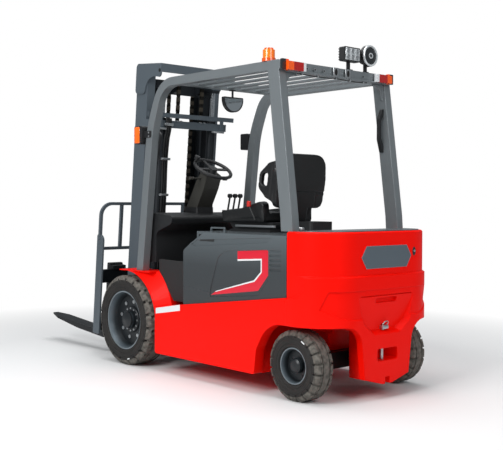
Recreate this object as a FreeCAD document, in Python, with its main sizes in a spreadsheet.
import FreeCAD, Part
import math
import os

import Sketcher
from FreeCAD import Placement, Rotation, Vector

# Electric counterbalance forklift, in millimetres.
# X points forward, Y to the left, Z up. The origin is on the floor, in the middle of the overall box.
# It stands as parked in the photograph: mast leaning back, forks a little off the floor.

doc = FreeCAD.newDocument("forklift")

# Driving dimensions: name, value in millimetres or degrees.
# "ahead" is measured from the front axle, "back" behind it, heights from the floor.
# In the mast "forward" is measured from the tilt pin at right angles to the rails, "up" along them.
SIZES = (
    # running gear
    ("wheelbase", 1820),
    ("rear_overhang", 330),
    ("front_wheel_centre", 510),
    ("front_tyre_radius", 350),
    ("front_tyre_width", 216),
    ("front_rim_radius", 229),
    ("front_rim_well", 190),
    ("rear_wheel_centre", 466),
    ("rear_tyre_radius", 230),
    ("rear_tyre_width", 165),
    ("rear_rim_radius", 119),
    ("rear_rim_well", 98),
    ("tyre_shoulder", 21),
    ("hub_gap", 0.3),
    ("lug_depth", 14),
    ("front_lug_gap", 22),
    ("rear_lug_gap", 13),
    ("front_lug_slant", 12),
    ("rear_lug_slant", 4),
    # chassis frame and body
    ("body_half_width", 584),
    ("skirt_bottom", 136),
    ("skirt_front_back", 378),
    ("skirt_rear_ahead", 325),
    ("sill_front_height", 488),
    ("sill_rise", 179),
    ("frame_side_width", 80),
    ("frame_floor_thick", 20),
    ("frame_plate", 16),
    ("arch_height", 489),
    ("arch_lead", 130),
    ("axle_cheek_y", 300),
    ("axle_cheek_top", 520),
    ("fender_radius", 386),
    ("fender_flare", 500),
    ("fender_inner_y", 400),
    ("fender_top", 745),
    ("fender_thick", 8),
    ("fender_front_ahead", 100),
    # floor, cowl and covers
    ("floor_height", 810),
    ("floor_thick", 18),
    ("cab_half_width", 500),
    ("cowl_front_back", 118),
    ("cowl_height", 385),
    ("cowl_fall", 25),
    ("cowl_depth", 330),
    ("cowl_half_width", 470),
    ("cowl_wall", 14),
    ("hood_front_back", 705),
    ("hood_rear_room", 35),
    ("hood_top", 1062),
    ("hood_thick", 22),
    ("hood_half_width", 440),
    ("hood_handle_back", 115),
    ("hood_handle_length", 160),
    ("hood_handle_height", 34),
    ("cover_half_width", 566),
    ("cover_wall", 30),
    ("cover_chamfer", 90),
    ("cover_gap", 6),
    ("cover_relief", 5),
    ("louvre_count", 5),
    ("louvre_pitch", 31),
    ("hinge_pin_radius", 9),
    # battery
    ("battery_width", 960),
    ("battery_height", 780),
    ("battery_room", 70),
    ("battery_rear_room", 20),
    # counterweight
    ("weight_front_ahead", 30),
    ("weight_top", 1090),
    ("weight_corner", 300),
    ("weight_bottom", 145),
    ("weight_keel", 100),
    ("weight_foot_half_width", 212),
    ("weight_column_half_width", 262),
    ("weight_column_behind", 115),
    ("weight_step", 16),
    ("panel_reach", 118),
    ("panel_rise", 72),
    ("keel_notch", 22),
    ("weight_ledge", 812),
    ("weight_bevel", 9),
    ("weight_panel_depth", 9),
    ("weight_panel_top", 716),
    ("weight_panel_low", 532),
    ("trough_half_width", 284),
    ("trough_foot", 130),
    ("trough_slot", 105),
    ("trough_low", 425),
    ("trough_depth", 46),
    ("badge_half_width", 250),
    ("badge_centre", 926),
    ("badge_half_height", 73),
    ("tow_slot_half_width", 100),
    ("tow_slot_low", 252),
    ("tow_slot_high", 332),
    ("tow_pin_radius", 13),
    ("tow_pin_inset", 52),
    # overhead guard
    ("guard_half_width", 524),
    ("guard_top", 2200),
    ("guard_tube_height", 62),
    ("guard_tube_width", 62),
    ("beacon_ahead", 150),
    ("beacon_foot_radius", 46),
    ("beacon_foot_height", 22),
    ("beacon_lens_radius", 40),
    ("beacon_lens_height", 56),
    ("beacon_cap_radius", 30),
    ("beacon_cap_height", 12),
    ("rear_lamp_length", 164),
    ("rear_lamp_height", 56),
    ("square_lamp_right", 113),
    ("square_lamp_up", 2300),
    ("square_lamp_height", 98),
    ("square_lamp_width", 166),
    ("square_lamp_fins", 5),
    ("round_lamp_right", 290),
    ("round_lamp_up", 2308),
    ("round_lamp_radius", 75),
    ("round_lamp_bezel", 22),
    ("turn_lamp_drop", 128),
    ("mirror_left", 34),
    ("mirror_drop", 54),
    ("mirror_half_width", 98),
    ("grab_length", 350),
    ("grip_down", 250),
    ("grip_length", 310),
    ("grip_reach", 46),
    ("gusset_size", 110),
    ("beam_drop", 12),
    ("guard_foot_back", 130),
    ("guard_foot_height", 745),
    ("guard_bend_back", 268),
    ("guard_bend_drop", 350),
    ("guard_front_back", 650),
    ("guard_rear_ahead", 110),
    ("guard_post_depth", 105),
    ("guard_post_lean", 130),
    ("roof_bar_width", 60),
    ("roof_bar_thick", 12),
    ("roof_bar_count", 6),
    # seat and steering
    ("seat_width", 500),
    ("seat_front_back", 750),
    ("seat_cushion_length", 470),
    ("seat_base_height", 70),
    ("seat_cushion_thick", 95),
    ("seat_back_height", 510),
    ("seat_back_thick", 110),
    ("seat_wing", 95),
    ("seat_lean", 9),
    ("housing_length", 290),
    ("bolster_width", 72),
    ("bolster_rise", 62),
    ("seat_rail_height", 16),
    ("wheel_rim_radius", 150),
    ("wheel_rim_thick", 13),
    ("steering_centre_back", 353),
    ("steering_rise", 345),
    ("column_lean", 30),
    ("column_radius", 26),
    ("column_depth", 120),
    ("column_width", 150),
    ("lever_near", 175),
    ("lever_far", 285),
    ("lever_count", 3),
    ("lever_block_near", 175),
    ("lever_block_far", 265),
    ("lever_length", 120),
    ("lever_knob_radius", 17),
    ("pedal_back", 256),
    ("stalk_radius", 7),
    ("stalk_reach", 95),
    ("column_collar", 40),
    # axles
    ("drive_axle_radius", 66),
    ("steer_limit", 70),
    ("wheel_clearance", 8),
    ("kingpin_y", 345),
    ("kingpin_radius", 20),
    ("steer_beam_height", 110),
    ("steer_beam_depth", 70),
    ("spindle_radius", 28),
    # mast, in its own upright frame about the tilt pin
    ("mast_lean", 5),
    ("mast_pin_ahead", 110),
    ("mast_pin_height", 280),
    ("mast_pin_radius", 26),
    ("rail_front", 226),
    ("rail_depth", 150),
    ("rail_flange", 17),
    ("rail_web", 16),
    ("outer_rail_y", 370),
    ("outer_rail_lip", 72),
    ("outer_rail_low", -175),
    ("outer_rail_high", 2020),
    ("inner_rail_y", 280),
    ("inner_rail_lip", 66),
    ("inner_rail_step", 18),
    ("inner_rail_low", -140),
    ("inner_rail_high", 1985),
    ("head_plate_thick", 12),
    ("head_high", 2100),
    ("head_low", 1860),
    ("head_back", 107),
    ("head_beam_height", 67),
    ("cross_bar_thick", 18),
    ("inner_bar_thick", 12),
    ("tie_bar_low", 1600),
    ("tie_bar_height", 60),
    ("slim_bar_half_width", 440),
    ("slim_bar_low", 1682),
    ("slim_bar_height", 36),
    ("lift_cylinder_y", 255),
    ("lift_cylinder_forward", 18),
    ("lift_barrel_radius", 37),
    ("lift_bore_radius", 29),
    ("lift_rod_radius", 20),
    ("rod_gap", 0.3),
    ("chain_width", 30),
    ("chain_thick", 16),
    ("chain_waist_pitch", 66),
    ("chain_waist", 4),
    ("chain_y", 120),
    ("chain_wheel_radius", 55),
    ("chain_wheel_forward", 60),
    # carriage and forks
    ("carriage_front", 468),
    ("carriage_bar_thick", 32),
    ("carriage_bar_height", 110),
    ("carriage_half_width", 512),
    ("carriage_low", -120),
    ("carriage_high", 390),
    ("carriage_plate_y", 176),
    ("backrest_plate_y", 520),
    ("backrest_plate_thick", 14),
    ("backrest_plate_depth", 92),
    ("backrest_plate_high", 690),
    ("backrest_top", 958),
    ("backrest_bar_radius", 12),
    ("fork_centre", 322),
    ("fork_width", 125),
    ("fork_thick", 46),
    ("fork_length", 932),
    ("fork_tip_thick", 14),
    ("fork_top", -162),
    ("fork_shank_high", 440),
    ("fork_hook_height", 34),
    # tilt cylinders
    ("tilt_cylinder_y", 330),
    ("tilt_pin_forward", 30),
    ("tilt_pin_up", 420),
    ("tilt_pin_radius", 14),
    ("tilt_eye_gap", 6),
    ("tilt_ear_inner", 36),
    ("tilt_ear_outer", 24),
    ("tilt_ear_thick", 12),
    ("tilt_gland", 165),
    ("tilt_base_back", 500),
    ("tilt_base_rise", 100),
    ("tilt_barrel_radius", 38),
    ("tilt_rod_radius", 18),
)

sheet = doc.addObject("Spreadsheet::Sheet", "sizes")
for row_number, (alias, value) in enumerate(SIZES, start=1):
    sheet.set("A%d" % row_number, str(value))
    sheet.setAlias("A%d" % row_number, alias)
doc.recompute()


class Size:
    """A number that also keeps the sheet expression it comes from."""

    def __init__(self, value, text):
        self.value = float(value)
        self.text = text

    def __float__(self):
        return self.value

    def __neg__(self):
        return Size(-self.value, "(-1 * %s)" % self.text)

    def __add__(self, other):
        other = as_size(other)
        return Size(self.value + other.value, "(%s + %s)" % (self.text, other.text))

    def __sub__(self, other):
        other = as_size(other)
        return Size(self.value - other.value, "(%s - %s)" % (self.text, other.text))

    def __mul__(self, other):
        other = as_size(other)
        return Size(self.value * other.value, "(%s * %s)" % (self.text, other.text))

    def __truediv__(self, other):
        other = as_size(other)
        return Size(self.value / other.value, "(%s / %s)" % (self.text, other.text))

    __radd__ = __add__
    __rmul__ = __mul__

    def __rsub__(self, other):
        return as_size(other) - self


def as_size(value):
    if isinstance(value, Size):
        return value
    return Size(value, "(%s)" % repr(float(value)))


def sine(angle):
    angle = as_size(angle)
    return Size(math.sin(math.radians(angle.value)), "sin(%s * 1 deg)" % angle.text)


def cosine(angle):
    angle = as_size(angle)
    return Size(math.cos(math.radians(angle.value)), "cos(%s * 1 deg)" % angle.text)


def arctangent(value):
    """Angle in degrees whose tangent is the value."""
    value = as_size(value)
    return Size(math.degrees(math.atan(value.value)), "(atan(%s) / 1 deg)" % value.text)


class Dimensions:
    """Gives each alias of the sheet as an attribute."""

    def __getattr__(self, alias):
        return Size(sheet.get(alias), "sizes.%s" % alias)


size = Dimensions()
SIDES = (("left", 1), ("right", -1))
FRONT_LUGS = 20
REAR_LUGS = 20
NODES = {}


def bind(thing, path, value):
    """Binds one property or constraint to the sheet."""
    thing.setExpression(path, as_size(value).text)


def keep(name, thing):
    """Gives a finished sub-part its label, which names its file."""
    thing.Label = name
    NODES[name] = thing
    return thing


def span(side, near, far):
    """Low and high Y of something that reaches from near to far on one side."""
    if side > 0:
        return near, far
    return -as_size(far), -as_size(near)


class Outline:
    """A closed outline of straight runs with rounded corners, from (across, up, corner radius) rows."""

    def __init__(self, rows):
        self.rows = [tuple(as_size(part) for part in (tuple(row) + (0,))[:3]) for row in rows]

    def corner(self, index):
        points = [Vector(row[0].value, row[1].value, 0) for row in self.rows]
        here = points[index]
        radius = self.rows[index][2].value
        if radius == 0:
            return here, here, None
        before = (points[index - 1] - here).normalize()
        after = (points[(index + 1) % len(points)] - here).normalize()
        half = before.getAngle(after) / 2
        start = here + before * (radius / math.tan(half))
        end = here + after * (radius / math.tan(half))
        centre = here + (before + after).normalize() * (radius / math.sin(half))
        turns_left = before.cross(after).z < 0
        angles = [math.atan2(point.y - centre.y, point.x - centre.x) for point in (start, end)]
        if not turns_left:
            angles.reverse()
        if angles[1] < angles[0]:
            angles[1] += 2 * math.pi
        return start, end, Part.ArcOfCircle(Part.Circle(centre, Vector(0, 0, 1), radius), *angles)

    def draw(self, sketch):
        corners = [self.corner(index) for index in range(len(self.rows))]
        lines = []
        for index, corner in enumerate(corners):
            following = corners[(index + 1) % len(corners)]
            lines.append(sketch.addGeometry(Part.LineSegment(corner[1], following[0]), False))
        ties = Ties(sketch)
        for index, (start, end, arc) in enumerate(corners):
            across, up, radius = self.rows[index]
            before = lines[index - 1]
            after = lines[index]
            if arc is None:
                ties.add("Coincident", before, 2, after, 1)
                ties.place(after, 1, across, up)
                continue
            curve = sketch.addGeometry(arc, False)
            drawn = sketch.Geometry[curve]
            first = 1 if (drawn.StartPoint - start).Length < (drawn.EndPoint - start).Length else 2
            ties.add("Tangent", before, 2, curve, first)
            ties.add("Tangent", curve, 3 - first, after, 1)
            ties.add("Radius", curve, size=radius)
            corner = sketch.addGeometry(Part.Point(Vector(across.value, up.value, 0)), True)
            ties.add("PointOnObject", corner, 1, before)
            ties.add("PointOnObject", corner, 1, after)
            ties.place(corner, 1, across, up)
        ties.apply()


class Circle:
    """A circle from its centre and radius."""

    def __init__(self, across, up, radius):
        self.across = as_size(across)
        self.up = as_size(up)
        self.radius = as_size(radius)

    def draw(self, sketch):
        centre = Vector(self.across.value, self.up.value, 0)
        circle = sketch.addGeometry(Part.Circle(centre, Vector(0, 0, 1), self.radius.value), False)
        ties = Ties(sketch)
        ties.add("Radius", circle, size=self.radius)
        ties.place(circle, 3, self.across, self.up)
        ties.apply()


class Ties:
    """The constraints of one outline, added together so that the drawn shape is already the solution."""

    def __init__(self, sketch):
        self.sketch = sketch
        self.constraints = []
        self.sizes = []

    def add(self, kind, *points, size=None):
        if size is not None:
            points = points + (size.value,)
            self.sizes.append((len(self.constraints), size))
        self.constraints.append(Sketcher.Constraint(kind, *points))

    def place(self, geometry, point, across, up):
        self.add("DistanceX", geometry, point, size=across)
        self.add("DistanceY", geometry, point, size=up)

    def apply(self):
        first = self.sketch.ConstraintCount
        self.sketch.addConstraint(self.constraints)
        for index, value in self.sizes:
            bind(self.sketch, "Constraints[%d]" % (first + index), value)


def rectangle(low_across, high_across, low_up, high_up, corner=0):
    return Outline(((low_across, low_up, corner), (high_across, low_up, corner),
                    (high_across, high_up, corner), (low_across, high_up, corner)))


class Piece:
    """A sub-part made of sketched features: "side" outlines are (x, z), "plan" (x, y), "front" (y, z)."""

    PLANES = {"side": "XZ_Plane", "plan": "XY_Plane", "front": "YZ_Plane"}

    def __init__(self, name):
        self.body = doc.addObject("PartDesign::Body", name)
        self.planes = {feature.Role: feature for feature in self.body.Origin.OriginFeatures}
        self.name = name
        self.count = 0
        keep(name, self.body)

    def feature(self, kind):
        self.count += 1
        return self.body.newObject(kind, "%s_%s_%d" % (self.name, kind.split("::")[1], self.count))

    def sketch(self, view, shapes, level=0):
        sketch = self.feature("Sketcher::SketchObject")
        sketch.AttachmentSupport = [(self.planes[self.PLANES[view]], "")]
        sketch.MapMode = "FlatFace"
        bind(sketch, "AttachmentOffset.Base.z", level)
        for shape in shapes:
            shape.draw(sketch)
        return sketch

    def prism(self, kind, view, shapes, low, high, taper=0):
        if isinstance(shapes, (Outline, Circle)):
            shapes = (shapes,)
        level = -as_size(high) if view == "side" else as_size(low)
        feature = self.feature(kind)
        sketch = self.sketch(view, shapes, level)
        feature.Profile = sketch
        bind(feature, "Length", as_size(high) - low)
        if taper:
            bind(feature, "TaperAngle", taper)
        if kind.endswith("Pocket"):
            feature.Reversed = True
        self.body.Tip = feature
        sketch.Visibility = False
        return self

    def pad(self, view, shapes, low, high, taper=0):
        return self.prism("PartDesign::Pad", view, shapes, low, high, taper)

    def pocket(self, view, shapes, low, high, taper=0):
        return self.prism("PartDesign::Pocket", view, shapes, low, high, taper)

    def turn(self, view, outline, axis="H_Axis", cut=False):
        feature = self.feature("PartDesign::Groove" if cut else "PartDesign::Revolution")
        sketch = self.sketch(view, (outline,))
        feature.Profile = sketch
        feature.ReferenceAxis = (sketch, [axis])
        feature.Angle = 360
        self.body.Tip = feature
        return self

    def repeat_round(self, count):
        """Repeats the last cut round the piece's Y axis."""
        last = self.body.Tip
        feature = self.feature("PartDesign::PolarPattern")
        feature.Originals = [last]
        feature.Axis = (self.planes["Y_Axis"], [""])
        feature.Angle = 360
        feature.Occurrences = count
        self.body.Tip = feature
        return self

    def mirror(self):
        """Repeats the last cut on the other side of the truck."""
        last = self.body.Tip
        feature = self.feature("PartDesign::Mirrored")
        feature.Originals = [last]
        feature.MirrorPlane = (self.planes["XZ_Plane"], [""])
        self.body.Tip = feature
        return self

    def repeat_up(self, count, length):
        """Repeats the last cut along the piece's Z axis."""
        last = self.body.Tip
        feature = self.feature("PartDesign::LinearPattern")
        feature.Originals = [last]
        feature.Direction = (self.planes["Z_Axis"], [""])
        feature.Occurrences = count
        bind(feature, "Length", length)
        self.body.Tip = feature
        return self

    def place(self, x=0, y=0, z=0, axis=None, angle=0):
        if axis is not None:
            self.body.Placement = Placement(Vector(), Rotation(Vector(*axis), 10))
            bind(self.body, "Placement.Rotation.Angle", angle)
        bind(self.body, "Placement.Base.x", x)
        bind(self.body, "Placement.Base.y", y)
        bind(self.body, "Placement.Base.z", z)
        return self

    def lean(self):
        """Stands a mast piece on the tilt pin and leans it back."""
        return self.place(mast_pin_x, 0, size.mast_pin_height, (0, 1, 0), -size.mast_lean)


# Places tied to one another, so that a change of one size carries the rest along
rear_reach = size.wheelbase + size.rear_overhang
weight_front_back = size.wheelbase - size.weight_front_ahead
weight_column_front_back = size.wheelbase + size.weight_column_behind
skirt_rear_back = size.wheelbase - size.skirt_rear_ahead
sill_rear_height = size.sill_front_height + size.sill_rise
battery_front_back = size.hood_front_back + size.battery_room
battery_rear_back = skirt_rear_back - size.battery_rear_room
hood_rear_back = weight_front_back - size.hood_rear_room
guard_rear_back = size.wheelbase - size.guard_rear_ahead
guard_bend_height = size.guard_top - size.guard_bend_drop
cowl_top = size.floor_height + size.cowl_height
steering_centre_height = cowl_top + size.steering_rise
seat_cushion_low = size.hood_top + size.seat_base_height
seat_back_top = seat_cushion_low + size.seat_back_height
tilt_base_height = size.axle_cheek_top + size.tilt_base_rise

# The datum: the front axle lies as far ahead of the origin as centres the overall length.
fork_tip_forward = size.carriage_front + size.fork_thick + size.fork_length
fork_tip_low = size.fork_top - size.fork_tip_thick
front_reach = (size.mast_pin_ahead + fork_tip_forward * cosine(size.mast_lean)
               - fork_tip_low * sine(size.mast_lean))
front_x = (rear_reach - front_reach) / 2
rear_x = front_x - size.wheelbase
mast_pin_x = front_x + size.mast_pin_ahead


def back(distance):
    """X of something a distance behind the front axle."""
    return front_x - distance


# Chassis frame

def chassis_frame():
    piece = Piece("chassis_frame")
    arch_low = back(skirt_rear_back)
    side = Outline((
        (back(size.skirt_front_back), size.skirt_bottom, 20),
        (back(size.skirt_front_back), size.sill_front_height, 20),
        (back(weight_front_back), sill_rear_height, 0),
        (back(weight_front_back), size.arch_height, 0),
        (arch_low - size.arch_lead, size.arch_height, 220),
        (arch_low - 22, size.skirt_bottom + 170, 80),
        (arch_low, size.skirt_bottom, 20),
    ))
    for label, sign in SIDES:
        low, high = span(sign, size.body_half_width - size.frame_side_width, size.body_half_width)
        piece.pad("side", side, low, high)
    inner = size.body_half_width - size.frame_side_width
    floor_top = size.skirt_bottom + size.frame_floor_thick
    battery_rear = battery_rear_back
    piece.pad("plan", rectangle(back(battery_rear + 20), back(size.skirt_front_back + 60), -inner, inner),
              size.skirt_bottom, floor_top)
    for place in (battery_front_back - 6 - size.frame_plate, battery_rear + 6):
        piece.pad("front", rectangle(-inner, inner, size.skirt_bottom, size.arch_height + 40),
                  back(place + size.frame_plate), back(place))
    # tail cheeks that carry the steer axle and the counterweight
    for label, sign in SIDES:
        low, high = span(sign, size.tow_slot_half_width + 10, size.tow_slot_half_width + 40)
        tail = rectangle(back(weight_front_back), back(battery_rear), size.arch_height - 90,
                         size.arch_height + 40)
        piece.pad("side", tail, low, high)
    plate_front = rear_x + pivot_plate_back + size.hub_gap
    piece.pad("front", rectangle(-size.tow_slot_half_width - 40, size.tow_slot_half_width + 40,
                                 size.rear_tyre_radius - 60, size.arch_height + 40),
              plate_front, plate_front + size.frame_plate)
    # nose cheeks that carry the drive axle and the mast pins
    for label, sign in SIDES:
        low, high = span(sign, size.axle_cheek_y, size.axle_cheek_y + size.frame_plate)
        nose = Outline((
            (back(battery_front_back), size.skirt_bottom, 0),
            (front_x - 40, size.skirt_bottom + 30, 30),
            (mast_pin_x + 50, size.mast_pin_height - 60, 40),
            (mast_pin_x + 50, size.mast_pin_height + 55, 40),
            (front_x - 60, size.axle_cheek_top, 40),
            (back(battery_front_back), size.axle_cheek_top, 0),
        ))
        piece.pad("side", nose, low, high)
        low, high = span(sign, size.axle_cheek_y, size.axle_cheek_y + size.frame_plate)
        piece.pocket("side", Circle(front_x, size.front_tyre_radius, size.drive_axle_radius + size.hub_gap),
                     low, high)
        piece.pocket("side", Circle(mast_pin_x, size.mast_pin_height, size.mast_pin_radius), low, high)
        # ears and pin at the foot of the tilt cylinder
        base_x = back(size.tilt_base_back)
        low, high = span(sign, size.axle_cheek_y, size.tilt_cylinder_y + 38)
        shelf = rectangle(base_x - 40, base_x + 40, size.axle_cheek_top - size.frame_plate,
                          size.axle_cheek_top)
        piece.pad("side", shelf, low, high)
        for ear in (-size.tilt_ear_inner, size.tilt_ear_outer):
            ear_y = size.tilt_cylinder_y + ear
            low, high = span(sign, ear_y, ear_y + size.tilt_ear_thick)
            piece.pad("side", Outline((
                (base_x - 26, size.axle_cheek_top - 4), (base_x + 26, size.axle_cheek_top - 4),
                (base_x + 26, tilt_base_height + 26, 25), (base_x - 26, tilt_base_height + 26, 25),
            )), low, high)
        low, high = span(sign, size.tilt_cylinder_y - 40, size.tilt_cylinder_y + 40)
        piece.pad("side", Circle(base_x, tilt_base_height, size.tilt_pin_radius), low, high)


def fenders():
    shapes = []
    outer_y = size.body_half_width.value
    flare_y = size.cab_half_width.value
    inner_y = size.fender_inner_y.value
    thick = size.fender_thick.value
    close = size.fender_radius.value
    wide = size.fender_flare.value
    top = size.fender_top.value
    for label, sign in SIDES:
        # skin from the lip beside the tyre up to the flare, then level to the inner edge
        section = ((outer_y, close), (outer_y, close + thick), (flare_y + 4, wide + thick),
                   (inner_y, wide + thick), (inner_y, wide), (flare_y, wide), (outer_y - thick, close))
        axle = Vector(front_x.value, 0, size.front_tyre_radius.value)
        points = [Vector(axle.x - radius, sign * across, axle.z) for across, radius in section]
        face = Part.Face(Part.makePolygon(points + points[:1]))
        skin = face.revolve(axle, Vector(0, 1, 0), 85)
        back_part = face.revolve(axle, Vector(0, -1, 0), 9)
        skin = skin.fuse(back_part)
        box = Part.makeBox(1200, 1400, top - 100, Vector(axle.x - 1000, -700, 100))
        skin = skin.common(box)
        front_edge = axle.x + size.fender_front_ahead.value
        rear_edge = axle.x - math.sqrt(max(wide ** 2 - (top - axle.z) ** 2, 1))
        low = min(sign * inner_y, sign * outer_y)
        deck = Part.makeBox(front_edge - rear_edge, outer_y - inner_y, thick,
                            Vector(rear_edge, low, top - thick))
        below = Part.makeCylinder(close, 2 * outer_y, Vector(axle.x, -outer_y, axle.z), Vector(0, 1, 0))
        gap = size.hub_gap.value
        sill = ((size.skirt_front_back.value - gap, 0),
                (size.skirt_front_back.value - gap, size.sill_front_height + gap),
                (weight_front_back.value, sill_rear_height + gap), (weight_front_back.value, 0))
        points = [Vector(front_x.value - across, -outer_y, float(up)) for across, up in sill]
        frame_side = Part.Face(Part.makePolygon(points + points[:1])).extrude(Vector(0, 2 * outer_y, 0))
        shapes.append(skin.fuse(deck).cut(below).cut(frame_side).removeSplitter())
    fender = doc.addObject("Part::Feature", "front_fenders")
    fender.Shape = Part.makeCompound([solid for shape in shapes for solid in shape.Solids])
    keep("front_fenders", fender)


# Running gear

def ring(reach, count):
    """Many-sided outline whose flats stand off by the reach, with one flat straight below."""
    corner = reach / math.cos(math.pi / count)
    turns = [math.tau * (index + 0.5) / count for index in range(count)]
    return Outline([(corner * math.cos(turn), corner * math.sin(turn)) for turn in turns])


def tyre(name, middle, width, radius, rim, lugs, gap, slant):
    """Solid tyre of two flats to each lug, with slanting cuts from both shoulders."""
    piece = Piece(name)
    facets = 2 * lugs
    half = width / 2
    edge = half - size.tyre_shoulder
    fall = (radius - rim) * 0.3
    angle = arctangent(fall / size.tyre_shoulder)
    piece.pad("side", ring(radius, facets), middle - edge, middle + edge)
    piece.pad("side", ring(radius - fall, facets), middle + edge, middle + half, angle)
    piece.pad("side", ring(radius, facets), middle - half, middle - edge, -angle)
    piece.pocket("side", ring(rim + size.hub_gap, facets), middle - half - 1, middle + half + 1)
    narrow = gap * 0.35
    for side in (1, -1):
        outer = middle + (half + 2) * side
        inner = middle + (half * 0.08) * side
        piece.pocket("plan", Outline((
            (-slant - gap / 2, outer), (gap / 2 - slant, outer), (slant + narrow, inner),
            (slant - narrow, inner),
        )), radius - size.lug_depth, radius + 5)
        piece.repeat_round(lugs)
    return piece


def wheel(label, sign, axle, x, centre, radius, width, rim, well, spindle, lugs, gap, slant):
    """One tyre and its rim on the spindle; the rim's outline is (across the truck, out from the axle)."""
    rubber = tyre("%s_tyre_%s" % (axle, label), centre * sign, width, radius, rim, lugs, gap, slant)
    rubber.place(x, 0, radius)
    inner = (centre - width / 2 + 12) * sign
    outer = (centre + width / 2 - 12) * sign
    disc = (centre + 8) * sign
    disc_outer = (centre + 22) * sign
    hub = (centre + width * 0.28) * sign
    hub_inner = (centre - width * 0.22) * sign
    hub_radius = spindle + 22
    bore = spindle + size.hub_gap
    wheel_rim = Piece("%s_rim_%s" % (axle, label))
    wheel_rim.turn("front", Outline((
        (hub_inner, bore), (hub, bore), (hub, hub_radius), (disc_outer, hub_radius),
        (disc_outer, well), (outer, rim - 8), (outer, rim), (inner, rim), (inner, rim - 8),
        (disc, well - 6), (disc, hub_radius), (hub_inner, hub_radius),
    )))
    wheel_rim.place(x, 0, radius)


def drive_axle():
    piece = Piece("drive_axle")
    half = size.front_wheel_centre - size.front_tyre_width / 2 - 14
    piece.pad("side", Circle(0, 0, size.drive_axle_radius), -half, half)
    piece.pad("side", Circle(0, 0, size.drive_axle_radius + 55), -130, 130)
    tip = size.front_wheel_centre + size.front_tyre_width * 0.28 + 6
    for label, sign in SIDES:
        low, high = span(sign, half, tip)
        piece.pad("side", Circle(0, 0, front_spindle), low, high)
    piece.place(front_x, 0, size.front_tyre_radius)


def steer_axle():
    piece = Piece("steer_axle")
    yoke = size.kingpin_y - 62
    half_height = size.steer_beam_height / 2
    half_depth = size.steer_beam_depth / 2
    piece.pad("plan", rectangle(-half_depth, half_depth, -yoke, yoke), -half_height, half_height)
    for label, sign in SIDES:
        low, high = span(sign, yoke - 10, size.kingpin_y + size.kingpin_radius + 12)
        ends = rectangle(-size.kingpin_radius - 12, size.kingpin_radius + 12, low, high, 10)
        piece.pad("plan", ends, half_height - 20, half_height + 6)
        piece.pad("plan", ends, -half_height - 6, -half_height + 20)
        piece.pocket("plan", Circle(0, size.kingpin_y * sign, size.kingpin_radius + size.hub_gap),
                     -half_height - 6, half_height + 6)
    piece.pad("front", Circle(0, 0, 30), half_depth, pivot_plate_back)
    piece.pad("front", Circle(0, 0, 30), -(weight_column_front_back - size.wheelbase - size.hub_gap),
              -half_depth)
    piece.place(rear_x, 0, size.rear_tyre_radius)


def knuckle(label, sign):
    piece = Piece("knuckle_%s" % label)
    half_height = size.steer_beam_height / 2
    pin_y = size.kingpin_y * sign
    piece.pad("plan", Circle(0, pin_y, size.kingpin_radius), -half_height - 14, half_height + 14)
    piece.pad("plan", Circle(0, pin_y, size.kingpin_radius + 14), -half_height + 24, half_height - 24)
    low, high = span(sign, size.kingpin_y, size.rear_wheel_centre + size.rear_tyre_width * 0.28 + 4)
    piece.pad("side", Circle(0, 0, size.spindle_radius), low, high)
    piece.place(rear_x, 0, size.rear_tyre_radius)


# Counterweight

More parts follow.
